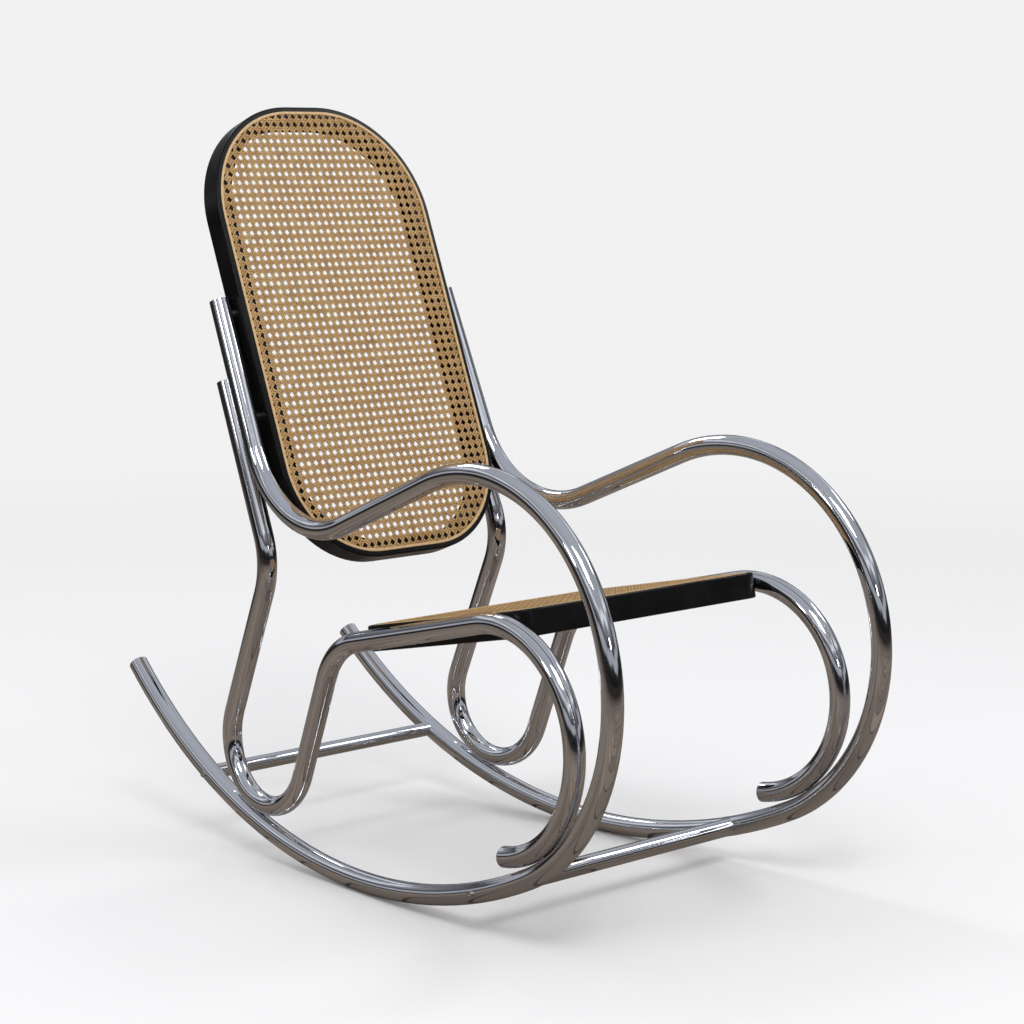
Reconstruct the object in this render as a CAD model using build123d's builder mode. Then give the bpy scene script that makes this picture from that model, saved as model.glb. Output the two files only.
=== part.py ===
from build123d import *
import os
from math import cos, degrees, radians, sin, tan

# Rocking chair: two mirrored side frames of bent steel tube, two cross
# stretchers, and a caned wooden seat and back hung between the frames.
# Millimetres. +X is the sitter's left, -Y the front, +Z up, Z = 0 the floor.

os.makedirs("parts", exist_ok=True)

# ---- side frame plane --------------------------------------------------
# Each side frame is flat. The two frames stand wider apart at the front
# (toe) and a little wider at the bottom (camber).
HALF_SPACING = 233.2
TOE = 2.76
CAMBER = 0.35
FRAME_Y = -88.8
FRAME_Z = 245.73

# ---- tube --------------------------------------------------------------
TUBE_R = 14.0
TUBE_WALL = 1.5
TUBE_PITCH = 2 * TUBE_R + 0.4
CLEAR = 0.1

# ---- seat tube, from its upper rear end down and round to the front -----
UPRIGHT_LEAN = 22.7
SEAT_TUBE_TOP = (374.5, 425.0)
SEAT_UPRIGHT = 227.2
KNEE_R = 105.2
KNEE_TURN = 45.4
CRADLE_DROP = 195.2
CRADLE_R = 88.7
CRADLE_TURN = 181.5
CRADLE_RISE = 159.3
SHOULDER_R = 96.5
SHOULDER_TURN = 55.5
RAIL_LENGTH = 265.3
LOOP_R = 148.2
LOOP_TURN = 186.3

# ---- arm tube, from its upper rear end down to the joint ----------------
ARM_RISE = 110.6
ARM_UPRIGHT = 219.5
DIP_R = 158.1
DIP_TURN = 89.8
ARM_REST = 199.4
BROW_R = 251.9
BROW_TURN = 73.6
FRONT_R = 265.3
FRONT_TURN = 96.3

# ---- rocker tube, from the joint to its rear end ------------------------
HEEL_TURN = 7.5
ROCKER_R = 816.4
ROCKER_TURN = 67.8
SLEEVE_HALF = 28.0

# ---- cross stretchers, as distances along the frame ---------------------
FRONT_STRETCHER_U = -185.0
REAR_STRETCHER_U = 424.0
FRONT_STRETCHER_R = 12.5
REAR_STRETCHER_R = 10.5
PLUG_LENGTH = 22.0

# ---- fasteners ---------------------------------------------------------
SCREW_R = 3.0
SCREW_HEAD_R = 5.0
SCREW_HEAD_H = 2.6
SCREW_EDGE_R = 1.2
SCREW_HEX_R = 2.0
SCREW_HEX_DEPTH = 1.6
SCREW_SEAT = 0.2
SCREW_SINK = 0.15
RIVET_R = 3.0
RIVET_HEAD_R = 5.5
RIVET_HEAD_H = 2.0
BOLT_R = 3.0
BOLT_HEAD_R = 4.5
BOLT_HEAD_H = 3.0
BOLT_FACE_GAP = 0.6
PAST_WALL = 4.0
SPACER_R = 8.0
CAP_FLANGE = 1.4
CAP_SHANK = 8.0
CAP_EDGE_R = 0.9
CAP_LEAD_IN = 1.0
UPRIGHT_RIVET_DOWN = 30.0
SLEEVE_CLEAR = 0.15

# ---- back panel --------------------------------------------------------
BACK_TILT = 21.2
BACK_CENTRE_Y = 342.3
BACK_CENTRE_Z = 494.9
BACK_WIDTH = 392.0
BACK_HEIGHT = 681.5
BACK_TOP_R = 167.5
BACK_BOTTOM_R = 142.5
BACK_DEPTH = 34.0
BACK_RING = 26.5
UPPER_BOLT_V = 519.0
LOWER_BOLT_V = 378.0

# ---- seat panel --------------------------------------------------------
SEAT_SLOPE = 11.5
SEAT_FRONT_Y = -247.0
SEAT_FRONT_Z = 180.0
SEAT_DEPTH = 340.0
SEAT_THICK = 35.0
SEAT_CORNER_R = 34.0
SEAT_RING = 34.0
SEAT_GAP = 0.7
SEAT_BOLTS = (60.0, 225.0)

# ---- cane edging, the same on both panels -------------------------------
LIP = 7.5
GROOVE = 5.2
GROOVE_DEPTH = 6.0
CANE = 1.2
SKIRT = 0.8
SPLINE_PROUD = 0.9
SPLINE_EDGE_R = 0.8
EDGE_R = 2.5

# ---- side frame planes and centre lines ---------------------------------
side_plane = Plane(
    origin=(-HALF_SPACING, FRAME_Y, FRAME_Z),
    x_dir=(sin(radians(TOE)), cos(radians(TOE)), 0),
    z_dir=(
        cos(radians(TOE)) * cos(radians(CAMBER)),
        -sin(radians(TOE)) * cos(radians(CAMBER)),
        -sin(radians(CAMBER)),
    ),
)
lean = radians(UPRIGHT_LEAN)
upright_heading = 270 - UPRIGHT_LEAN
arm_top = (
    SEAT_TUBE_TOP[0] - TUBE_PITCH * cos(lean) + ARM_RISE * sin(lean),
    SEAT_TUBE_TOP[1] + TUBE_PITCH * sin(lean) + ARM_RISE * cos(lean),
)

with BuildLine(side_plane) as seat_line:
    seat_upright = PolarLine(SEAT_TUBE_TOP, SEAT_UPRIGHT, upright_heading)
    knee = JernArc(seat_upright @ 1, seat_upright % 1, KNEE_R, KNEE_TURN)
    drop = PolarLine(knee @ 1, CRADLE_DROP, direction=knee % 1)
    cradle = JernArc(drop @ 1, drop % 1, CRADLE_R, -CRADLE_TURN)
    rise = PolarLine(cradle @ 1, CRADLE_RISE, direction=cradle % 1)
    shoulder = JernArc(rise @ 1, rise % 1, SHOULDER_R, SHOULDER_TURN)
    rail = PolarLine(shoulder @ 1, RAIL_LENGTH, direction=shoulder % 1)
    loop = JernArc(rail @ 1, rail % 1, LOOP_R, LOOP_TURN)

with BuildLine(side_plane) as arm_line:
    arm_upright = PolarLine(arm_top, ARM_UPRIGHT, upright_heading)
    dip = JernArc(arm_upright @ 1, arm_upright % 1, DIP_R, -DIP_TURN)
    arm_rest = PolarLine(dip @ 1, ARM_REST, direction=dip % 1)
    brow = JernArc(arm_rest @ 1, arm_rest % 1, BROW_R, BROW_TURN)
    front = JernArc(brow @ 1, brow % 1, FRONT_R, FRONT_TURN)

with BuildLine(side_plane) as rocker_line:
    heel = JernArc(front @ 1, front % 1, FRONT_R, HEEL_TURN)
    runner = JernArc(heel @ 1, heel % 1, ROCKER_R, ROCKER_TURN)

front_centre = side_plane.to_local_coords(front.arc_center)
runner_centre = side_plane.to_local_coords(runner.arc_center)
loop_centre = side_plane.to_local_coords(loop.arc_center)
cradle_centre = side_plane.to_local_coords(cradle.arc_center)


def frame_point(u, v):
    """Point of the left side plane, u to the rear and v upwards."""
    return side_plane.from_local_coords(Vector(u, v, 0))


def on_runner(u):
    """Point of the rocker centre line at distance u along the frame."""
    across = u - runner_centre.X
    return frame_point(u, runner_centre.Y - (ROCKER_R**2 - across**2) ** 0.5)


def on_arm_upright(v):
    """Point of the arm tube's upright at height v."""
    return frame_point(arm_top[0] - (arm_top[1] - v) * tan(lean), v)


# Tubes touch at three places, and a rivet joins them at each one. Every
# plane stands on the centre line of the tube nearer the chair's outside
# and looks from there into the other tube.
away = (loop_centre - front_centre).normalized()
loop_contact = Plane(
    origin=side_plane.from_local_coords(front_centre + away * FRONT_R),
    z_dir=side_plane.origin - side_plane.from_local_coords(away),
)
below = (cradle_centre - runner_centre).normalized()
cradle_contact = Plane(
    origin=side_plane.from_local_coords(runner_centre + below * ROCKER_R),
    z_dir=side_plane.origin - side_plane.from_local_coords(below),
)
upright_contact = Plane(
    origin=on_arm_upright(SEAT_TUBE_TOP[1] - UPRIGHT_RIVET_DOWN),
    z_dir=side_plane.from_local_coords(Vector(cos(lean), -sin(lean), 0)) - side_plane.origin,
)

# ---- end planes, facing out of each open tube end -----------------------
tube_ends = {
    "arm_cap": Plane(origin=arm_upright @ 0, z_dir=(arm_upright % 0) * -1),
    "seat_tube_rear_cap": Plane(origin=seat_upright @ 0, z_dir=(seat_upright % 0) * -1),
    "seat_tube_front_cap": Plane(origin=loop @ 1, z_dir=loop % 1),
    "rocker_cap": Plane(origin=runner @ 1, z_dir=runner % 1),
}

# ---- places of the fasteners --------------------------------------------
front_cross = on_runner(FRONT_STRETCHER_U)
rear_cross = on_runner(REAR_STRETCHER_U)
back_bolt_spots = [on_arm_upright(UPPER_BOLT_V), on_arm_upright(LOWER_BOLT_V)]
seat_bolt_spots = [rail @ (along / RAIL_LENGTH) for along in SEAT_BOLTS]
bore_r = TUBE_R - TUBE_WALL
sleeve_r = bore_r - SLEEVE_CLEAR
head_seat = (bore_r**2 - RIVET_HEAD_R**2) ** 0.5 - CLEAR
sleeve_head_seat = ((sleeve_r - TUBE_WALL) ** 2 - RIVET_HEAD_R**2) ** 0.5 - CLEAR


def facing_out(spot):
    """Plane at a point of the left frame with its axis along -X."""
    return Plane(origin=spot, x_dir=(0, 1, 0), z_dir=(-1, 0, 0))


def ring_section(start, outer, wall):
    """Tube section across the start of a path."""
    with BuildSketch(Plane(origin=start @ 0, z_dir=start % 0)) as ring:
        Circle(outer)
        Circle(outer - wall, mode=Mode.SUBTRACT)
    return ring.sketch


def disc(plane, radius):
    """Round section on a plane."""
    with BuildSketch(plane) as round_face:
        Circle(radius)
    return round_face.sketch


def rivet_hole(contact):
    """Hole through the two facing walls of two tubes that touch."""
    with Locations(contact):
        Cylinder(
            RIVET_R + CLEAR,
            TUBE_PITCH,
            align=(Align.CENTER, Align.CENTER, Align.MIN),
            mode=Mode.SUBTRACT,
        )


def inner_wall_hole(spot):
    """Hole for a bolt through a tube's wall on the chair's inner side."""
    with Locations(facing_out(spot)):
        Cylinder(
            BOLT_R + CLEAR,
            TUBE_R + PAST_WALL,
            align=(Align.CENTER, Align.CENTER, Align.MAX),
            mode=Mode.SUBTRACT,
        )


# ---- seat tubes ---------------------------------------------------------
with BuildPart() as seat_tube:
    sweep(ring_section(seat_upright, TUBE_R, TUBE_WALL), path=seat_line.line)
    rivet_hole(upright_contact)
    rivet_hole(cradle_contact)
    rivet_hole(loop_contact)
    for spot in seat_bolt_spots:
        inner_wall_hole(spot)

# ---- arm tubes ----------------------------------------------------------
with BuildPart() as arm_tube:
    sweep(ring_section(arm_upright, TUBE_R, TUBE_WALL), path=arm_line.line)
    rivet_hole(upright_contact)
    rivet_hole(loop_contact)
    for spot in back_bolt_spots:
        inner_wall_hole(spot)

# ---- rocker tubes, with a flat seat for each stretcher screw ------------
with BuildPart() as rocker_tube:
    sweep(ring_section(heel, TUBE_R, TUBE_WALL), path=rocker_line.line)
    rivet_hole(cradle_contact)
    for spot in (front_cross, rear_cross):
        with Locations(facing_out(spot)):
            Cylinder(SCREW_R + CLEAR, 2 * TUBE_R + PAST_WALL, mode=Mode.SUBTRACT)
        with Locations(facing_out(spot).offset(TUBE_R - SCREW_SEAT)):
            Cylinder(
                SCREW_HEAD_R + CLEAR,
                SCREW_HEAD_H,
                align=(Align.CENTER, Align.CENTER, Align.MIN),
                mode=Mode.SUBTRACT,
            )

# ---- sleeves inside the joint between arm tube and rocker tube ----------
sleeve_start = 1 - SLEEVE_HALF / front.length
with BuildLine(side_plane) as sleeve_line:
    sleeve_arc = JernArc(
        front @ sleeve_start,
        front % sleeve_start,
        FRONT_R,
        degrees(2 * SLEEVE_HALF / FRONT_R),
    )

with BuildPart() as joint_sleeve:
    sweep(ring_section(sleeve_arc, sleeve_r, TUBE_WALL), path=sleeve_line.line)
    rivet_hole(loop_contact)

left_pieces = {
    "seat_tube": seat_tube,
    "arm_tube": arm_tube,
    "rocker_tube": rocker_tube,
    "joint_sleeve": joint_sleeve,
}

# ---- end caps, a domed flange over the wall and a shank in the bore -----
for name, end in tube_ends.items():
    with BuildPart() as cap:
        with BuildSketch(end):
            Circle(TUBE_R)
        extrude(amount=CAP_FLANGE)
        fillet(cap.edges().filter_by(GeomType.CIRCLE).sort_by(Axis(end.origin, end.z_dir))[-1], CAP_EDGE_R)
        with BuildSketch(end):
            Circle(bore_r - 4 * CLEAR)
        extrude(amount=-CAP_SHANK)
        chamfer(cap.edges().filter_by(GeomType.CIRCLE).sort_by(Axis(end.origin, end.z_dir))[0], CAP_LEAD_IN)
    left_pieces[name] = cap

for name, piece in left_pieces.items():
    piece.part.label = name + "_left"
    export_step(piece.part, "parts/" + piece.part.label + ".step")
    with BuildPart() as twin:
        mirror(piece.part, about=Plane.YZ)
    twin.part.label = name + "_right"
    export_step(twin.part, "parts/" + twin.part.label + ".step")

# ---- solid shapes of the tubes that other pieces are coped round --------
with BuildPart() as runner_core:
    with BuildSketch(Plane(origin=runner @ 0, z_dir=runner % 0)):
        Circle(TUBE_R + CLEAR)
    sweep(path=runner)
    mirror(about=Plane.YZ)

with BuildPart() as upright_core:
    with BuildSketch(Plane(origin=arm_upright @ 0, z_dir=arm_upright % 0)):
        Circle(TUBE_R + CLEAR)
    sweep(path=arm_upright)
    mirror(about=Plane.YZ)

# ---- cross stretchers, coped on to the rockers --------------------------
stretchers = (
    ("front_stretcher", front_cross, FRONT_STRETCHER_R),
    ("rear_stretcher", rear_cross, REAR_STRETCHER_R),
)
for name, spot, radius in stretchers:
    with BuildPart() as stretcher:
        with BuildSketch(Plane.YZ):
            with Locations((spot.Y, spot.Z)):
                Circle(radius)
                Circle(radius - TUBE_WALL, mode=Mode.SUBTRACT)
        extrude(amount=-spot.X, both=True)
        add(runner_core.part, mode=Mode.SUBTRACT)
    stretcher.part.label = name
    export_step(stretcher.part, "parts/" + name + ".step")

# ---- threaded plugs inside the stretchers' ends -------------------------
plug_face = TUBE_R + 8 * CLEAR
with BuildPart() as stretcher_plugs:
    for name, spot, radius in stretchers:
        with Locations(facing_out(spot).offset(-plug_face)):
            Cylinder(
                radius - TUBE_WALL - CLEAR,
                PLUG_LENGTH,
                align=(Align.CENTER, Align.CENTER, Align.MAX),
            )
            Cylinder(
                SCREW_R + CLEAR,
                PLUG_LENGTH,
                align=(Align.CENTER, Align.CENTER, Align.MAX),
                mode=Mode.SUBTRACT,
            )
    mirror(about=Plane.YZ)
stretcher_plugs.part.label = "stretcher_plugs"
export_step(stretcher_plugs.part, "parts/stretcher_plugs.step")

# ---- screws through the rockers into the plugs --------------------------
with BuildPart() as stretcher_screws:
    for spot in (front_cross, rear_cross):
        head = facing_out(spot).offset(TUBE_R - SCREW_SINK)
        with BuildSketch(head):
            Circle(SCREW_R)
        extrude(amount=-(TUBE_R + plug_face + PLUG_LENGTH - PAST_WALL))
        with BuildSketch(head):
            Circle(SCREW_HEAD_R)
        extrude(amount=SCREW_HEAD_H)
        rim = stretcher_screws.edges().filter_by(GeomType.CIRCLE)
        fillet(rim.sort_by_distance(head.offset(SCREW_HEAD_H).origin)[0], SCREW_EDGE_R)
        with BuildSketch(head.offset(SCREW_HEAD_H)):
            RegularPolygon(SCREW_HEX_R, 6)
        extrude(amount=-SCREW_HEX_DEPTH, mode=Mode.SUBTRACT)
    mirror(about=Plane.YZ)
stretcher_screws.part.label = "stretcher_screws"
export_step(stretcher_screws.part, "parts/stretcher_screws.step")

# ---- rivets that join the tubes where they touch ------------------------
for name, contact, low in (
    ("upright_rivets", upright_contact, head_seat),
    ("cradle_rivets", cradle_contact, head_seat),
    ("loop_rivets", loop_contact, sleeve_head_seat),
):
    with BuildPart() as rivets:
        with BuildSketch(contact.offset(low - RIVET_HEAD_H)):
            Circle(RIVET_HEAD_R)
        extrude(amount=RIVET_HEAD_H)
        with BuildSketch(contact.offset(TUBE_PITCH - head_seat)):
            Circle(RIVET_HEAD_R)
        extrude(amount=RIVET_HEAD_H)
        with BuildSketch(contact.offset(low)):
            Circle(RIVET_R)
        extrude(amount=TUBE_PITCH - head_seat - low)
        mirror(about=Plane.YZ)
    rivets.part.label = name
    export_step(rivets.part, "parts/" + name + ".step")

# ---- outlines of the two caned panels, each drawn flat ------------------
with BuildSketch() as back_outline:
    Rectangle(BACK_WIDTH, BACK_HEIGHT)
    fillet(back_outline.vertices().group_by(Axis.Y)[0], BACK_BOTTOM_R)
    fillet(back_outline.vertices().group_by(Axis.Y)[-1], BACK_TOP_R)

rail_drop = SEAT_THICK / 2
seat_rear_u = SEAT_FRONT_Y + SEAT_DEPTH * cos(radians(SEAT_SLOPE))
seat_rear_v = SEAT_FRONT_Z - SEAT_DEPTH * sin(radians(SEAT_SLOPE)) - rail_drop
front_half = -frame_point(SEAT_FRONT_Y, SEAT_FRONT_Z - rail_drop).X - TUBE_R - SEAT_GAP
rear_half = -frame_point(seat_rear_u, seat_rear_v).X - TUBE_R - SEAT_GAP
with BuildSketch() as seat_outline:
    Polygon(
        (-front_half, 0),
        (front_half, 0),
        (rear_half, SEAT_DEPTH),
        (-rear_half, SEAT_DEPTH),
        align=None,
    )
    fillet(seat_outline.vertices(), SEAT_CORNER_R)


def inset(outline, amount):
    """A panel outline moved in from its edge by an amount."""
    with BuildSketch() as smaller:
        add(outline.sketch)
        offset(amount=-amount, mode=Mode.REPLACE)
    return smaller.sketch


# ---- planes of the panels' caned faces ----------------------------------
tilt = radians(BACK_TILT)
slope = radians(SEAT_SLOPE)
back_plane = Plane(
    origin=(0, FRAME_Y + BACK_CENTRE_Y, FRAME_Z + BACK_CENTRE_Z),
    x_dir=(1, 0, 0),
    z_dir=(0, -cos(tilt), sin(tilt)),
)
seat_plane = Plane(
    origin=(0, FRAME_Y + SEAT_FRONT_Y, FRAME_Z + SEAT_FRONT_Z),
    x_dir=(1, 0, 0),
    z_dir=(0, sin(slope), cos(slope)),
)
panels = (
    ("back", back_plane, back_outline, BACK_DEPTH, BACK_RING, back_bolt_spots),
    ("seat", seat_plane, seat_outline, SEAT_THICK, SEAT_RING, seat_bolt_spots),
)
skirt_at = LIP + GROOVE - CLEAR - SKIRT

for name, plane, outline, depth, ring, bolt_spots in panels:
    # Wooden ring: a narrow lip outside, a groove for the edging, and a
    # margin inside that is lower by the thickness of the cane.
    with BuildPart() as wood:
        with BuildSketch(plane):
            add(outline.sketch)
        extrude(amount=-depth)
        fillet(wood.faces().filter_by(Plane(plane.origin, z_dir=plane.z_dir)).edges(), EDGE_R)
        with BuildSketch(plane):
            add(inset(outline, ring))
        extrude(amount=-depth, mode=Mode.SUBTRACT)
        with BuildSketch(plane):
            add(inset(outline, LIP + GROOVE))
        extrude(amount=-CANE, mode=Mode.SUBTRACT)
        with BuildSketch(plane):
            add(inset(outline, LIP))
            add(inset(outline, LIP + GROOVE), mode=Mode.SUBTRACT)
        extrude(amount=-GROOVE_DEPTH, mode=Mode.SUBTRACT)
        for spot in bolt_spots:
            with Locations(facing_out(Vector(0, spot.Y, spot.Z))):
                Cylinder(BOLT_R + CLEAR, 2 * HALF_SPACING, mode=Mode.SUBTRACT)
    wood.part.label = name + "_frame"
    export_step(wood.part, "parts/" + name + "_frame.step")

    # Cane sheet, with its edge turned down into the groove.
    with BuildPart() as cane:
        with BuildSketch(plane):
            add(inset(outline, skirt_at))
        extrude(amount=-CANE)
        with BuildSketch(plane.offset(-CANE)):
            add(inset(outline, skirt_at))
            add(inset(outline, skirt_at + SKIRT), mode=Mode.SUBTRACT)
        extrude(amount=CANE + CLEAR - GROOVE_DEPTH)
    cane.part.label = name + "_cane"
    export_step(cane.part, "parts/" + name + "_cane.step")

    # Split-reed spline that holds the cane in the groove.
    with BuildPart() as spline:
        with BuildSketch(plane.offset(SPLINE_PROUD)):
            add(inset(outline, LIP + CLEAR))
            add(inset(outline, skirt_at - CLEAR), mode=Mode.SUBTRACT)
        extrude(amount=-(SPLINE_PROUD + GROOVE_DEPTH - CLEAR))
        top = spline.edges().group_by(Axis(plane.origin, plane.z_dir))[-1]
        fillet(top, SPLINE_EDGE_R)
    spline.part.label = name + "_spline"
    export_step(spline.part, "parts/" + name + "_spline.step")

# ---- bolts from inside the wooden rings into the tubes ------------------
def bolt_pair(spot, inner_face):
    """Two mirrored bolts from a ring's inner face into the side tubes."""
    face = facing_out(Vector(inner_face, spot.Y, spot.Z))
    extrude(disc(face, BOLT_R), amount=inner_face - spot.X - TUBE_R + TUBE_WALL + PAST_WALL)
    extrude(disc(face, BOLT_HEAD_R), amount=-BOLT_HEAD_H)


with BuildPart() as back_bolts:
    for spot in back_bolt_spots:
        bolt_pair(spot, -(BACK_WIDTH / 2 - BACK_RING))
    mirror(about=Plane.YZ)
back_bolts.part.label = "back_bolts"
export_step(back_bolts.part, "parts/back_bolts.step")

with BuildPart() as seat_bolts:
    for spot in seat_bolt_spots:
        bolt_pair(spot, spot.X + TUBE_R + SEAT_GAP + SEAT_RING + BOLT_FACE_GAP)
    mirror(about=Plane.YZ)
seat_bolts.part.label = "seat_bolts"
export_step(seat_bolts.part, "parts/seat_bolts.step")

# ---- spacers between the back's sides and the arm tubes -----------------
with BuildPart() as back_spacers:
    for spot in back_bolt_spots:
        with BuildSketch(Plane.YZ.offset(-BACK_WIDTH / 2 - CLEAR)):
            with Locations((spot.Y, spot.Z)):
                Circle(SPACER_R)
                Circle(BOLT_R + CLEAR, mode=Mode.SUBTRACT)
        extrude(amount=spot.X + BACK_WIDTH / 2 + CLEAR)
    mirror(about=Plane.YZ)
    add(upright_core.part, mode=Mode.SUBTRACT)
back_spacers.part.label = "back_spacers"
export_step(back_spacers.part, "parts/back_spacers.step")
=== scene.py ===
import math

import bpy
import numpy as np
from mathutils import Matrix, Vector


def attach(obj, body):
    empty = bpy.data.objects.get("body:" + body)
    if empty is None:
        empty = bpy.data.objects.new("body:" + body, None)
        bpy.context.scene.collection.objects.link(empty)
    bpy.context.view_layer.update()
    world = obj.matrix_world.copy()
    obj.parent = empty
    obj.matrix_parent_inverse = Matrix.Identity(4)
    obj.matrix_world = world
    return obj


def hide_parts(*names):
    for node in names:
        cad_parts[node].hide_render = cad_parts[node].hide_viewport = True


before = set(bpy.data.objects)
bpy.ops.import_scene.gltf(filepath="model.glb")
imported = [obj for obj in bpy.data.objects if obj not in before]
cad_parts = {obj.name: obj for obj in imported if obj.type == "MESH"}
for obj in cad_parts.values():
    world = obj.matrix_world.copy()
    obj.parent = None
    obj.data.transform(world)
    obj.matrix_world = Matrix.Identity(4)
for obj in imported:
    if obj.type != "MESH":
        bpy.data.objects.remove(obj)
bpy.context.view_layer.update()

# Camera at a standing viewer's distance, in front of the chair and to its near side, looking slightly
# down. A long lens keeps the two side frames close to parallel.
eye = bpy.data.cameras.new("eye")
eye.lens = 91.08
eye.sensor_width = 36.0
viewer = bpy.data.objects.new("viewer", eye)
bpy.context.scene.collection.objects.link(viewer)
viewer.location = (-2.41405, -2.65386, 0.99193)
viewer.rotation_mode = "QUATERNION"
viewer.rotation_quaternion = Vector((0.67725, 0.72279, -0.13747)).to_track_quat("-Z", "Y")
bpy.context.scene.camera = viewer

# Studio: a pale floor that runs into a pale surround of the same tone. Polished metal mirrors a
# boarded floor tone and a dark band at eye height, which give the chrome its contrast.
bpy.ops.object.select_all(action="DESELECT")
bpy.ops.mesh.primitive_circle_add(vertices=96, radius=30.0, fill_type="NGON", location=(0, 0, -0.0005))
floor = bpy.context.object
floor.name = "studio_floor"
floor_paint = bpy.data.materials.new("pale_floor")
floor_paint.use_nodes = True
tree = floor_paint.node_tree
paint = tree.nodes["Principled BSDF"]
paint.inputs["Roughness"].default_value = 0.85
paint.inputs["Specular IOR Level"].default_value = 0.15
path = tree.nodes.new("ShaderNodeLightPath")
tone = tree.nodes.new("ShaderNodeMix")
tone.data_type = "RGBA"
tone.inputs["A"].default_value = (0.84, 0.84, 0.84, 1.0)
place = tree.nodes.new("ShaderNodeTexCoord")
boards = tree.nodes.new("ShaderNodeTexBrick")
boards.inputs["Color1"].default_value = (0.27, 0.22, 0.175, 1.0)
boards.inputs["Color2"].default_value = (0.150, 0.121, 0.098, 1.0)
boards.inputs["Mortar"].default_value = (0.070, 0.056, 0.046, 1.0)
boards.inputs["Scale"].default_value = 1.0
boards.inputs["Mortar Size"].default_value = 0.005
boards.inputs["Brick Width"].default_value = 0.9
boards.inputs["Row Height"].default_value = 0.12
haze = tree.nodes.new("ShaderNodeEmission")
distance = tree.nodes.new("ShaderNodeVectorMath")
distance.operation = "LENGTH"
fade = tree.nodes.new("ShaderNodeMapRange")
fade.interpolation_type = "SMOOTHSTEP"
fade.inputs["From Min"].default_value = 0.9
fade.inputs["From Max"].default_value = 5.0
far_tone = tree.nodes.new("ShaderNodeMix")
far_tone.data_type = "RGBA"
far_tone.inputs["A"].default_value = (0.885, 0.885, 0.885, 1.0)
far_tone.inputs["B"].default_value = (0.028, 0.024, 0.022, 1.0)
run_out = tree.nodes.new("ShaderNodeMixShader")
tree.links.new(place.outputs["Object"], boards.inputs["Vector"])
tree.links.new(boards.outputs["Color"], tone.inputs["B"])
tree.links.new(path.outputs["Is Glossy Ray"], tone.inputs["Factor"])
tree.links.new(path.outputs["Is Glossy Ray"], far_tone.inputs["Factor"])
tree.links.new(tone.outputs["Result"], paint.inputs["Base Color"])
tree.links.new(far_tone.outputs["Result"], haze.inputs["Color"])
tree.links.new(place.outputs["Object"], distance.inputs[0])
tree.links.new(distance.outputs["Value"], fade.inputs["Value"])
tree.links.new(fade.outputs["Result"], run_out.inputs[0])
tree.links.new(paint.outputs["BSDF"], run_out.inputs[1])
tree.links.new(haze.outputs["Emission"], run_out.inputs[2])
tree.links.new(run_out.outputs["Shader"], tree.nodes["Material Output"].inputs["Surface"])
floor.data.materials.append(floor_paint)

surround = bpy.data.worlds.new("studio_surround")
surround.use_nodes = True
bpy.context.scene.world = surround
tree = surround.node_tree
tree.nodes.clear()
place = tree.nodes.new("ShaderNodeTexCoord")
split = tree.nodes.new("ShaderNodeSeparateXYZ")
bands = tree.nodes.new("ShaderNodeValToRGB")
bands.color_ramp.elements[0].position = 0.0
bands.color_ramp.elements[0].color = (0.05, 0.045, 0.04, 1.0)
bands.color_ramp.elements[1].position = 1.0
bands.color_ramp.elements[1].color = (0.46, 0.49, 0.55, 1.0)
for height, shade in (
    (0.50, 0.01),
    (0.55, 0.03),
    (0.57, 0.40),
    (0.62, 0.44),
    (0.64, 0.05),
    (0.68, 0.14),
    (0.73, 0.32),
    (0.76, 0.95),
    (0.80, 0.38),
):
    step = bands.color_ramp.elements.new(height)
    step.color = (shade * 0.95, shade * 0.98, shade * 1.06, 1.0)
lift = tree.nodes.new("ShaderNodeMapRange")
lift.inputs["From Min"].default_value = -1.0
room = tree.nodes.new("ShaderNodeTexNoise")
room.inputs["Scale"].default_value = 2.6
room.inputs["Detail"].default_value = 3.0
uneven = tree.nodes.new("ShaderNodeMapRange")
uneven.inputs["To Min"].default_value = -0.09
uneven.inputs["To Max"].default_value = 0.09
level = tree.nodes.new("ShaderNodeMath")
level.operation = "ADD"
glow = tree.nodes.new("ShaderNodeBackground")
glow.inputs["Strength"].default_value = 1.0
plain = tree.nodes.new("ShaderNodeBackground")
plain.inputs["Color"].default_value = (0.885, 0.885, 0.885, 1.0)
diffuse = tree.nodes.new("ShaderNodeBackground")
diffuse.inputs["Color"].default_value = (0.80, 0.80, 0.82, 1.0)
path = tree.nodes.new("ShaderNodeLightPath")
mirrored = tree.nodes.new("ShaderNodeMixShader")
seen = tree.nodes.new("ShaderNodeMixShader")
sky = tree.nodes.new("ShaderNodeOutputWorld")
tree.links.new(place.outputs["Generated"], split.inputs["Vector"])
tree.links.new(split.outputs["Z"], lift.inputs["Value"])
tree.links.new(place.outputs["Generated"], room.inputs["Vector"])
tree.links.new(room.outputs["Fac"], uneven.inputs["Value"])
tree.links.new(lift.outputs["Result"], level.inputs[0])
tree.links.new(uneven.outputs["Result"], level.inputs[1])
tree.links.new(level.outputs["Value"], bands.inputs["Fac"])
tree.links.new(bands.outputs["Color"], glow.inputs["Color"])
tree.links.new(path.outputs["Is Glossy Ray"], mirrored.inputs[0])
tree.links.new(diffuse.outputs["Background"], mirrored.inputs[1])
tree.links.new(glow.outputs["Background"], mirrored.inputs[2])
tree.links.new(path.outputs["Is Camera Ray"], seen.inputs[0])
tree.links.new(mirrored.outputs["Shader"], seen.inputs[1])
tree.links.new(plain.outputs["Background"], seen.inputs[2])
tree.links.new(seen.outputs["Shader"], sky.inputs["Surface"])
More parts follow.
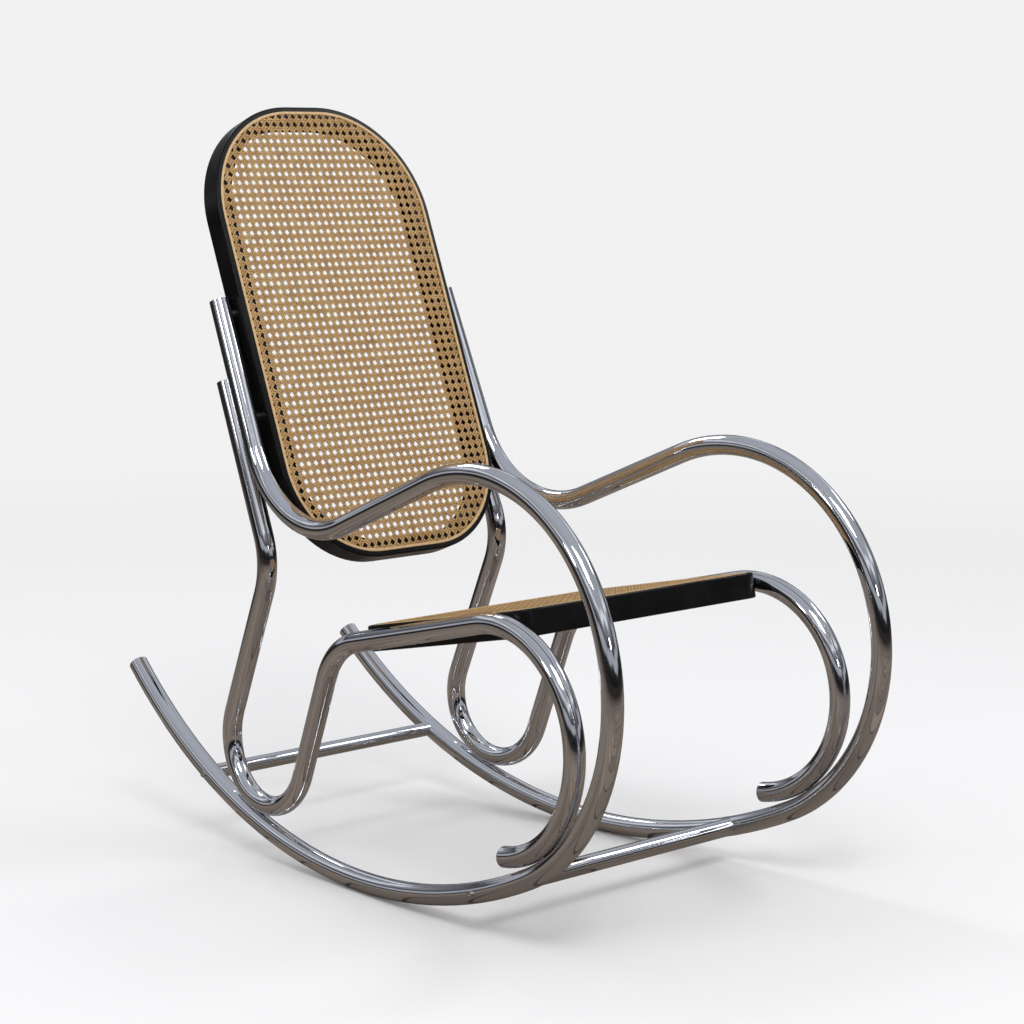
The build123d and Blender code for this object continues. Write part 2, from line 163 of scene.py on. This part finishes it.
for name, spot, size, power in (
    ("key_softbox", (-1.6, -2.2, 3.4), 1.2, 42.0),
    ("fill_softbox", (2.6, -1.2, 2.8), 0.9, 16.0),
    ("rear_softbox", (0.4, 2.8, 3.2), 1.0, 22.0),
    ("window_strip", (-3.0, 0.2, 1.6), 0.35, 5.0),
    ("door_strip", (-0.6, -3.6, 1.5), 0.30, 4.0),
):
    lamp = bpy.data.lights.new(name, "AREA")
    lamp.size = size
    lamp.energy = power
    softbox = bpy.data.objects.new(name, lamp)
    bpy.context.scene.collection.objects.link(softbox)
    softbox.location = spot
    softbox.rotation_euler = (Vector((0, 0, 0.5)) - Vector(spot)).to_track_quat("-Z", "Y").to_euler()
bpy.context.scene.view_settings.view_transform = "Standard"


# Arm, seat and rocker tubes: 28 mm steel tube, bent cold, polished and chromed. The plating is bright,
# with hairline rub marks and a scatter of small pits.
def open_material(name):
    """A new material with its node tree and its main shader."""
    made = bpy.data.materials.new(name)
    made.use_nodes = True
    return made, made.node_tree, made.node_tree.nodes["Principled BSDF"]


def coat_nodes(material, names):
    """Gives CAD nodes one finish in place of the plain colour they came with."""
    for name in names:
        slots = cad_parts[name].data.materials
        slots.clear()
        slots.append(material)


def open_group(name, inputs, outputs):
    """A new shader group with its number inputs, its outputs and its two end nodes."""
    group = bpy.data.node_groups.new(name, "ShaderNodeTree")
    for label, value in inputs:
        socket = group.interface.new_socket(label, in_out="INPUT", socket_type="NodeSocketFloat")
        socket.default_value = value
    for label, kind in outputs:
        group.interface.new_socket(label, in_out="OUTPUT", socket_type=kind)
    entry = group.nodes.new("NodeGroupInput")
    leave = group.nodes.new("NodeGroupOutput")
    return group, entry, leave


plating, entry, leave = open_group(
    "plating_wear",
    (("Smooth", 0.05), ("Dull", 0.16), ("Rub Scale", 90.0), ("Pit Scale", 420.0), ("Pit Depth", 1.0)),
    (("Roughness", "NodeSocketFloat"), ("Pits", "NodeSocketFloat"), ("Height", "NodeSocketFloat")),
)
nodes, links = plating.nodes, plating.links
place = nodes.new("ShaderNodeTexCoord")
clouds = nodes.new("ShaderNodeTexNoise")
clouds.inputs["Scale"].default_value = 14.0
clouds.inputs["Detail"].default_value = 4.0
rubs = nodes.new("ShaderNodeTexNoise")
rubs.inputs["Detail"].default_value = 6.0
rubs.inputs["Distortion"].default_value = 1.4
pits = nodes.new("ShaderNodeTexVoronoi")
spread = nodes.new("ShaderNodeMapRange")
spread.inputs["From Min"].default_value = 0.40
spread.inputs["From Max"].default_value = 0.68
near_pit = nodes.new("ShaderNodeMapRange")
near_pit.inputs["From Min"].default_value = 0.16
near_pit.inputs["From Max"].default_value = 0.07
where = nodes.new("ShaderNodeMath")
where.operation = "MULTIPLY"
rubbed = nodes.new("ShaderNodeMath")
rubbed.operation = "MULTIPLY"
blend = nodes.new("ShaderNodeMapRange")
blend.inputs["From Min"].default_value = 0.15
blend.inputs["From Max"].default_value = 0.45
low = nodes.new("ShaderNodeMath")
low.operation = "MULTIPLY"
low.inputs[1].default_value = 0.08
sunk = nodes.new("ShaderNodeMath")
sunk.operation = "MULTIPLY"
total = nodes.new("ShaderNodeMath")
total.operation = "SUBTRACT"
for texture, scale in ((clouds, None), (rubs, "Rub Scale"), (pits, "Pit Scale")):
    links.new(place.outputs["Object"], texture.inputs["Vector"])
    if scale:
        links.new(entry.outputs[scale], texture.inputs["Scale"])
links.new(clouds.outputs["Fac"], spread.inputs["Value"])
links.new(pits.outputs["Distance"], near_pit.inputs["Value"])
links.new(spread.outputs["Result"], where.inputs[0])
links.new(near_pit.outputs["Result"], where.inputs[1])
links.new(clouds.outputs["Fac"], rubbed.inputs[0])
links.new(rubs.outputs["Fac"], rubbed.inputs[1])
links.new(rubbed.outputs["Value"], blend.inputs["Value"])
links.new(entry.outputs["Smooth"], blend.inputs["To Min"])
links.new(entry.outputs["Dull"], blend.inputs["To Max"])
links.new(rubs.outputs["Fac"], low.inputs[0])
links.new(where.outputs["Value"], sunk.inputs[0])
links.new(entry.outputs["Pit Depth"], sunk.inputs[1])
links.new(low.outputs["Value"], total.inputs[0])
links.new(sunk.outputs["Value"], total.inputs[1])
links.new(blend.outputs["Result"], leave.inputs["Roughness"])
links.new(where.outputs["Value"], leave.inputs["Pits"])
links.new(total.outputs["Value"], leave.inputs["Height"])


def plated(name, clean, tarnished, smooth, dull, pit_depth, bump_height):
    """Plated or turned metal, from its clean colour to the tarnish in its pits."""
    material, tree, shader = open_material(name)
    wear = tree.nodes.new("ShaderNodeGroup")
    wear.node_tree = plating
    wear.inputs["Smooth"].default_value = smooth
    wear.inputs["Dull"].default_value = dull
    wear.inputs["Pit Depth"].default_value = pit_depth
    colour = tree.nodes.new("ShaderNodeMix")
    colour.data_type = "RGBA"
    colour.inputs["A"].default_value = clean
    colour.inputs["B"].default_value = tarnished
    relief = tree.nodes.new("ShaderNodeBump")
    relief.inputs["Strength"].default_value = 0.35
    relief.inputs["Distance"].default_value = bump_height
    tree.links.new(wear.outputs["Pits"], colour.inputs["Factor"])
    tree.links.new(wear.outputs["Height"], relief.inputs["Height"])
    tree.links.new(colour.outputs["Result"], shader.inputs["Base Color"])
    tree.links.new(wear.outputs["Roughness"], shader.inputs["Roughness"])
    tree.links.new(relief.outputs["Normal"], shader.inputs["Normal"])
    shader.inputs["Metallic"].default_value = 1.0
    return material


chrome = plated("chrome_tube", (0.74, 0.75, 0.78, 1), (0.22, 0.18, 0.15, 1), 0.025, 0.085, 1.2, 0.00012)
for tube in ("arm_tube", "seat_tube", "rocker_tube"):
    coat_nodes(chrome, [tube + "_left", tube + "_right"])

# Front and rear stretchers: chromed cross tubes between the rockers, the rear one thinner. Their screwed
# end plugs and the spigots inside the tube joints are plain turned steel.
cross_chrome = plated(
    "cross_tube_chrome", (0.70, 0.71, 0.74, 1), (0.22, 0.18, 0.15, 1), 0.05, 0.14, 1.2, 0.00012
)
coat_nodes(cross_chrome, ["front_stretcher", "rear_stretcher"])
turned = plated("turned_steel", (0.50, 0.50, 0.50, 1), (0.20, 0.16, 0.13, 1), 0.28, 0.45, 0.6, 0.0003)
coat_nodes(turned, ["stretcher_plugs", "joint_sleeve_left", "joint_sleeve_right"])

# Tube end caps: pressed steel caps with a thin flange, pushed into each open tube end and plated a shade
# duller than the tube.
cap_plate = plated("cap_plate", (0.70, 0.71, 0.73, 1), (0.26, 0.23, 0.20, 1), 0.10, 0.24, 1.2, 0.0002)
coat_nodes(cap_plate, [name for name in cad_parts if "_cap_" in name])

# Rivets, bolts, screws and the turned spacers behind the back: bright nickel-plated steel, rubbed dull
# round the heads.
bright = plated("bright_fixings", (0.66, 0.65, 0.62, 1), (0.24, 0.20, 0.16, 1), 0.14, 0.32, 0.8, 0.0002)
coat_nodes(
    bright,
    [
        "back_bolts",
        "seat_bolts",
        "stretcher_screws",
        "cradle_rivets",
        "loop_rivets",
        "upright_rivets",
        "back_spacers",
    ],
)


# Back frame and seat frame: hardwood rings, stained black and lacquered to a satin sheen, bolted between
# the side tubes. A little grain shows through, and the sheen is scuffed in patches.
lacquer, entry, leave = open_group(
    "lacquered_grain",
    (("Fine", 900.0), ("Along", 22.0), ("Satin", 0.18), ("Scuffed", 0.34)),
    (("Tone", "NodeSocketFloat"), ("Roughness", "NodeSocketFloat"), ("Height", "NodeSocketFloat")),
)
nodes, links = lacquer.nodes, lacquer.links
place = nodes.new("ShaderNodeTexCoord")
lengthwise = nodes.new("ShaderNodeMapping")
lengthwise.inputs["Scale"].default_value = (1.0, 0.35, 0.06)
fibres = nodes.new("ShaderNodeTexNoise")
fibres.inputs["Detail"].default_value = 5.0
fibres.inputs["Roughness"].default_value = 0.6
scuffs = nodes.new("ShaderNodeTexNoise")
scuffs.inputs["Detail"].default_value = 6.0
satin = nodes.new("ShaderNodeMapRange")
satin.inputs["From Min"].default_value = 0.35
satin.inputs["From Max"].default_value = 0.70
links.new(place.outputs["Object"], lengthwise.inputs["Vector"])
links.new(lengthwise.outputs["Vector"], fibres.inputs["Vector"])
links.new(entry.outputs["Fine"], fibres.inputs["Scale"])
links.new(place.outputs["Object"], scuffs.inputs["Vector"])
links.new(entry.outputs["Along"], scuffs.inputs["Scale"])
links.new(scuffs.outputs["Fac"], satin.inputs["Value"])
links.new(entry.outputs["Satin"], satin.inputs["To Min"])
links.new(entry.outputs["Scuffed"], satin.inputs["To Max"])
links.new(scuffs.outputs["Fac"], leave.inputs["Tone"])
links.new(satin.outputs["Result"], leave.inputs["Roughness"])
links.new(fibres.outputs["Fac"], leave.inputs["Height"])

black_wood, tree, shader = open_material("black_lacquered_wood")
grain = tree.nodes.new("ShaderNodeGroup")
grain.node_tree = lacquer
stain = tree.nodes.new("ShaderNodeMix")
stain.data_type = "RGBA"
stain.inputs["A"].default_value = (0.002, 0.002, 0.0025, 1)
stain.inputs["B"].default_value = (0.007, 0.0065, 0.0065, 1)
relief = tree.nodes.new("ShaderNodeBump")
relief.inputs["Strength"].default_value = 0.25
relief.inputs["Distance"].default_value = 0.0003
tree.links.new(grain.outputs["Tone"], stain.inputs["Factor"])
tree.links.new(stain.outputs["Result"], shader.inputs["Base Color"])
tree.links.new(grain.outputs["Roughness"], shader.inputs["Roughness"])
tree.links.new(grain.outputs["Height"], relief.inputs["Height"])
tree.links.new(relief.outputs["Normal"], shader.inputs["Normal"])
shader.inputs["Specular IOR Level"].default_value = 0.16
coat_nodes(black_wood, ["back_frame", "seat_frame"])


# Woven cane of the back: split rattan skin in the six-way pattern. Pairs of strands run up and across
# in plain weave, and single strands cross them both ways on the slant and leave eight-sided holes.
PITCH = 0.0127
STRAND = 0.00236
SLANT = 0.00284
THICK = 0.00062
SPREAD = 0.00124
CROWN = 0.00034
SLANT_RISE = 0.00060
TRIM = 0.0084
TUCK_FROM = 0.0134
TUCK = 0.0008
BELOW_FACE = 0.0002

strand_skin, entry, leave = open_group(
    "strand_skin",
    (("Patch Scale", 55.0), ("Streak", 14.0)),
    (
        ("Tone", "NodeSocketFloat"),
        ("Gloss", "NodeSocketFloat"),
        ("Height", "NodeSocketFloat"),
        ("Painted Crease Shade", "NodeSocketFloat"),
    ),
)
nodes, links = strand_skin.nodes, strand_skin.links
# Painted shade: a mask from the strand's UV that rises towards its two side edges, standing in for the shade in
# the creases between strands.
round_strand = nodes.new("ShaderNodeSeparateXYZ")
turns = nodes.new("ShaderNodeMath")
turns.operation = "MULTIPLY"
turns.inputs[1].default_value = 2 * math.pi
swing = nodes.new("ShaderNodeMath")
swing.operation = "SINE"
flat = nodes.new("ShaderNodeMath")
flat.operation = "ABSOLUTE"
sharp = nodes.new("ShaderNodeMath")
sharp.operation = "POWER"
sharp.inputs[1].default_value = 2.6
place = nodes.new("ShaderNodeTexCoord")
patches = nodes.new("ShaderNodeTexNoise")
patches.inputs["Detail"].default_value = 5.0
patches.inputs["Roughness"].default_value = 0.65
fibre_run = nodes.new("ShaderNodeMapping")
fibre_run.inputs["Scale"].default_value = (1.0, 0.12, 1.0)
fibres = nodes.new("ShaderNodeTexNoise")
fibres.inputs["Detail"].default_value = 4.0
mixed = nodes.new("ShaderNodeMix")
mixed.inputs["Factor"].default_value = 0.35
gloss = nodes.new("ShaderNodeMapRange")
gloss.inputs["To Min"].default_value = 0.34
gloss.inputs["To Max"].default_value = 0.58
links.new(place.outputs["UV"], round_strand.inputs["Vector"])
links.new(round_strand.outputs["X"], turns.inputs[0])
links.new(turns.outputs["Value"], swing.inputs[0])
links.new(swing.outputs["Value"], flat.inputs[0])
links.new(flat.outputs["Value"], sharp.inputs[0])
links.new(sharp.outputs["Value"], leave.inputs["Painted Crease Shade"])
links.new(place.outputs["Object"], patches.inputs["Vector"])
links.new(entry.outputs["Patch Scale"], patches.inputs["Scale"])
links.new(place.outputs["UV"], fibre_run.inputs["Vector"])
links.new(fibre_run.outputs["Vector"], fibres.inputs["Vector"])
links.new(entry.outputs["Streak"], fibres.inputs["Scale"])
links.new(patches.outputs["Fac"], mixed.inputs["A"])
links.new(fibres.outputs["Fac"], mixed.inputs["B"])
links.new(mixed.outputs["Result"], gloss.inputs["Value"])
links.new(mixed.outputs["Result"], leave.inputs["Tone"])
links.new(gloss.outputs["Result"], leave.inputs["Gloss"])
links.new(fibres.outputs["Fac"], leave.inputs["Height"])


def cane_skin_and_crease_shade(name, shadow, body, light):
    """Rattan skin from its dark patches to its light ones, with painted shade in the creases between strands.
    """
    material, tree, shader = open_material(name)
    skin = tree.nodes.new("ShaderNodeGroup")
    skin.node_tree = strand_skin
    ramp = tree.nodes.new("ShaderNodeValToRGB")
    ramp.color_ramp.elements[0].position = 0.30
    ramp.color_ramp.elements[0].color = shadow
    ramp.color_ramp.elements[1].position = 0.72
    ramp.color_ramp.elements[1].color = light
    ramp.color_ramp.elements.new(0.50).color = body
    # Painted shade: that mask mixes a dark brown into the strand colour towards each strand's side edges.
    edges = tree.nodes.new("ShaderNodeMix")
    edges.data_type = "RGBA"
    edges.inputs["B"].default_value = (0.075, 0.028, 0.010, 1)
    relief = tree.nodes.new("ShaderNodeBump")
    relief.inputs["Strength"].default_value = 0.3
    relief.inputs["Distance"].default_value = 0.0002
    tree.links.new(skin.outputs["Tone"], ramp.inputs["Fac"])
    tree.links.new(ramp.outputs["Color"], edges.inputs["A"])
    tree.links.new(skin.outputs["Painted Crease Shade"], edges.inputs["Factor"])
    tree.links.new(edges.outputs["Result"], shader.inputs["Base Color"])
    tree.links.new(skin.outputs["Gloss"], shader.inputs["Roughness"])
    tree.links.new(skin.outputs["Height"], relief.inputs["Height"])
    tree.links.new(relief.outputs["Normal"], shader.inputs["Normal"])
    return material


cane_skin = cane_skin_and_crease_shade("cane_skin", (0.43, 0.225, 0.075, 1), (0.67, 0.405, 0.150, 1), (0.84, 0.58, 0.26, 1))


def pick(piece, chosen):
    """Selects the chosen corners of a mesh and nothing else."""
    piece.data.polygons.foreach_set("select", np.zeros(len(piece.data.polygons), bool))
    piece.data.edges.foreach_set("select", np.zeros(len(piece.data.edges), bool))
    piece.data.vertices.foreach_set("select", chosen)


def strand(width, length, cuts, lifts, turn, spot):
    """One length of split cane along Y, lens-shaped across, with a ring of corners raised at each lift."""
    bpy.ops.object.select_all(action="DESELECT")
    bpy.ops.mesh.primitive_cylinder_add(
        vertices=4, radius=width / 2, depth=length, end_fill_type="NOTHING", rotation=(math.pi / 2, 0, 0)
    )
    piece = bpy.context.object
    bpy.ops.object.transform_apply(location=True, rotation=True, scale=True)
    bpy.ops.object.mode_set(mode="EDIT")
    bpy.ops.mesh.select_all(action="SELECT")
    bpy.ops.transform.resize(value=(1.0, 1.0, THICK / width))
    for cut in cuts:
        bpy.ops.mesh.select_all(action="SELECT")
        bpy.ops.mesh.bisect(plane_co=(0, cut, 0), plane_no=(0, 1, 0))
    for low, high, rise in lifts:
        bpy.ops.object.mode_set(mode="OBJECT")
        pick(piece, np.array([low < corner.co.y < high for corner in piece.data.vertices]))
        bpy.ops.object.mode_set(mode="EDIT")
        bpy.ops.transform.translate(value=(0, 0, rise))
    bpy.ops.object.mode_set(mode="OBJECT")
    bpy.ops.object.shade_smooth()
    piece.rotation_euler = (0, 0, turn)
    piece.location = spot
    bpy.ops.object.transform_apply(location=True, rotation=True, scale=True)
    return piece


def crossing_strand(offset, first_rise):
    """A strand of an upright pair over one cell: under one cross strand and over the next."""
    reach = SPREAD
    return strand(
        STRAND,
        PITCH,
        (-2.5 * reach, -reach, reach, 2.5 * reach),
        ((-1.1 * reach, -0.9 * reach, first_rise), (0.9 * reach, 1.1 * reach, -first_rise)),
        0.0,
        (offset, 0, 0),
    )


def slanting_strand(turn, rise):
    """A slant strand over one cell: above the pair at its middle and below the pair at its ends."""
    length = PITCH * math.sqrt(2)
    quarter = length / 4
    return strand(
        SLANT,
        length,
        (-length / 2 + 0.0017, -quarter, -0.0017, 0.0017, quarter, length / 2 - 0.0017),
        ((-0.0018, 0.0018, rise), (-length, -length / 2 + 0.0018, -rise), (length / 2 - 0.0018, length, -rise)),
        turn,
        (0, 0, 0),
    )


def join(pieces):
    """Makes the strands of one cell a single mesh."""
    bpy.ops.object.select_all(action="DESELECT")
    for piece in pieces:
        piece.select_set(True)
    bpy.context.view_layer.objects.active = pieces[0]
    if len(pieces) > 1:
        bpy.ops.object.join()
    return bpy.context.object


def lay_out(piece, first, columns, rows):
    """Repeats one cell across and up the panel from its first place and makes the strands continuous."""
    bpy.ops.object.select_all(action="DESELECT")
    piece.select_set(True)
    bpy.context.view_layer.objects.active = piece
    piece.location = (first[0], first[1], 0)
    bpy.ops.object.transform_apply(location=True, rotation=False, scale=False)
    for count, way in ((columns, (PITCH, 0, 0)), (rows, (0, PITCH, 0))):
        run = piece.modifiers.new("run", "ARRAY")
        run.count = count
        run.use_relative_offset = False
        run.use_constant_offset = True
        run.constant_offset_displace = way
        bpy.ops.object.modifier_apply(modifier="run")
    bpy.ops.object.mode_set(mode="EDIT")
    bpy.ops.mesh.select_all(action="SELECT")
    bpy.ops.mesh.remove_doubles(threshold=0.00001)
    bpy.ops.object.mode_set(mode="OBJECT")
    return piece


def fit_to_ring(piece, margin):
    """Trims the strands inside the spline ring and tucks their ends down under it."""
    spots = np.zeros(len(piece.data.vertices) * 3)
    piece.data.vertices.foreach_get("co", spots)
    spots = spots.reshape(-1, 3)
    room = margin(spots[:, 0], spots[:, 1])
    bpy.ops.object.select_all(action="DESELECT")
    piece.select_set(True)
    bpy.context.view_layer.objects.active = piece
    pick(piece, room < TUCK_FROM)
    bpy.ops.object.mode_set(mode="EDIT")
    bpy.ops.transform.translate(value=(0, 0, -TUCK))
    bpy.ops.object.mode_set(mode="OBJECT")
    pick(piece, room < TRIM)
    bpy.ops.object.mode_set(mode="EDIT")
    bpy.ops.mesh.delete(type="VERT")
    bpy.ops.object.mode_set(mode="OBJECT")


def set_in_place(piece, name, origin, across, up, material, node):
    """Turns a flat panel of strands to its ring, just below the face, and names what it stands for."""
    outward = across.cross(up)
    place = Matrix((across, up, outward)).transposed().to_4x4()
    place.translation = origin - outward * BELOW_FACE
    piece.matrix_world = place
    bpy.context.view_layer.update()
    bpy.ops.object.select_all(action="DESELECT")
    piece.select_set(True)
    bpy.context.view_layer.objects.active = piece
    bpy.ops.object.transform_apply(location=True, rotation=True, scale=True)
    piece.name = name
    piece.data.name = name
    piece.data.materials.clear()
    piece.data.materials.append(material)
    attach(piece, "root")
    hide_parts(node)


def weave(panel, first_hole, columns, rows, margin, origin, across, up, material, node):
    """The three sets of strands of one panel: upright pairs, cross pairs and slants."""
    middle = (first_hole[0] + PITCH / 2, first_hole[1] + PITCH / 2)
    uprights = join([crossing_strand(-SPREAD, -CROWN), crossing_strand(SPREAD, CROWN)])
    lay_out(uprights, middle, columns, rows)
    crossers = join([crossing_strand(-SPREAD, -CROWN), crossing_strand(SPREAD, CROWN)])
    crossers.rotation_euler = (0, 0, math.pi / 2)
    bpy.ops.object.transform_apply(location=False, rotation=True, scale=False)
    lay_out(crossers, middle, columns, rows)
    beside = (first_hole[0] + PITCH / 2, first_hole[1])
    slants = join([slanting_strand(-math.pi / 4, SLANT_RISE), slanting_strand(math.pi / 4, -SLANT_RISE)])
    lay_out(slants, beside, columns, rows)
    for piece, label in ((uprights, "_uprights"), (crossers, "_crossers"), (slants, "_slants")):
        fit_to_ring(piece, margin)
        set_in_place(piece, panel + label, origin, across, up, material, node)


BACK_HALF = 0.196
BACK_TALL = 0.6815
BACK_TOP_ROUND = 0.1675
BACK_FOOT_ROUND = 0.1425
BACK_TOP = BACK_TALL / 2
BACK_FOOT = -BACK_TALL / 2
BACK_LEAN = math.radians(21.2)


def back_margin(across, up):
    """How far a point of the back's face lies inside the outer edge of its ring."""
    side = np.abs(across)
    straight = np.minimum(BACK_HALF - side, np.minimum(BACK_TOP - up, up - BACK_FOOT))
    top = BACK_TOP_ROUND - np.hypot(side - (BACK_HALF - BACK_TOP_ROUND), up - (BACK_TOP - BACK_TOP_ROUND))
    foot = BACK_FOOT_ROUND - np.hypot(side - (BACK_HALF - BACK_FOOT_ROUND), up - (BACK_FOOT + BACK_FOOT_ROUND))
    in_top = (side > BACK_HALF - BACK_TOP_ROUND) & (up > BACK_TOP - BACK_TOP_ROUND)
    in_foot = (side > BACK_HALF - BACK_FOOT_ROUND) & (up < BACK_FOOT + BACK_FOOT_ROUND)
    return np.where(in_top, top, np.where(in_foot, foot, straight))


back_origin = Vector((0, 0.2535, 0.74063))
weave(
    "back_cane",
    (-0.02032 - 15 * PITCH, -0.00505 - 27 * PITCH),
    32,
    55,
    back_margin,
    back_origin,
    Vector((1, 0, 0)),
    Vector((0, math.sin(BACK_LEAN), math.cos(BACK_LEAN))),
    cane_skin,
    "back_cane",
)

# Woven cane of the seat: the same webbing on a ring a little wider at its front, in colours a shade darker
# all over than the back's.
SEAT_FRONT_HALF = 0.2296
SEAT_REAR_HALF = 0.2140
SEAT_DEEP = 0.340
SEAT_ROUND = 0.034
SEAT_FALL = math.radians(11.5)


def seat_margin(across, back):
    """How far a point of the seat's face lies inside the outer edge of its ring."""
    taper = math.atan((SEAT_FRONT_HALF - SEAT_REAR_HALF) / SEAT_DEEP)
    half = SEAT_FRONT_HALF + (SEAT_REAR_HALF - SEAT_FRONT_HALF) * back / SEAT_DEEP
    flank = (half - np.abs(across)) * math.cos(taper)
    end = np.minimum(back, SEAT_DEEP - back)
    short = np.minimum(flank, end)
    corner = SEAT_ROUND - np.hypot(SEAT_ROUND - flank, SEAT_ROUND - end)
    return np.where((flank < SEAT_ROUND) & (end < SEAT_ROUND), corner, short)


seat_skin = cane_skin_and_crease_shade(
    "seat_cane_skin", (0.42, 0.225, 0.075, 1), (0.65, 0.400, 0.150, 1), (0.82, 0.57, 0.26, 1)
)
weave(
    "seat_cane",
    (-18 * PITCH, 0.0064 - PITCH),
    37,
    29,
    seat_margin,
    Vector((0, -0.3358, 0.42573)),
    Vector((1, 0, 0)),
    Vector((0, math.cos(SEAT_FALL), -math.sin(SEAT_FALL))),
    seat_skin,
    "seat_cane",
)

# Splines: reed glued into the groove round each panel to lock the cane. It is pale and unvarnished, with
# small darker patches along it.
reed, tree, shader = open_material("reed_spline")
skin = tree.nodes.new("ShaderNodeGroup")
skin.node_tree = strand_skin
skin.inputs["Patch Scale"].default_value = 240.0
ramp = tree.nodes.new("ShaderNodeValToRGB")
ramp.color_ramp.elements[0].position = 0.28
ramp.color_ramp.elements[0].color = (0.38, 0.23, 0.10, 1)
ramp.color_ramp.elements[1].position = 0.62
ramp.color_ramp.elements[1].color = (0.66, 0.46, 0.24, 1)
relief = tree.nodes.new("ShaderNodeBump")
relief.inputs["Strength"].default_value = 0.4
relief.inputs["Distance"].default_value = 0.0003
tree.links.new(skin.outputs["Tone"], ramp.inputs["Fac"])
tree.links.new(ramp.outputs["Color"], shader.inputs["Base Color"])
tree.links.new(skin.outputs["Gloss"], shader.inputs["Roughness"])
tree.links.new(skin.outputs["Tone"], relief.inputs["Height"])
tree.links.new(relief.outputs["Normal"], shader.inputs["Normal"])
coat_nodes(reed, ["back_spline", "seat_spline"])
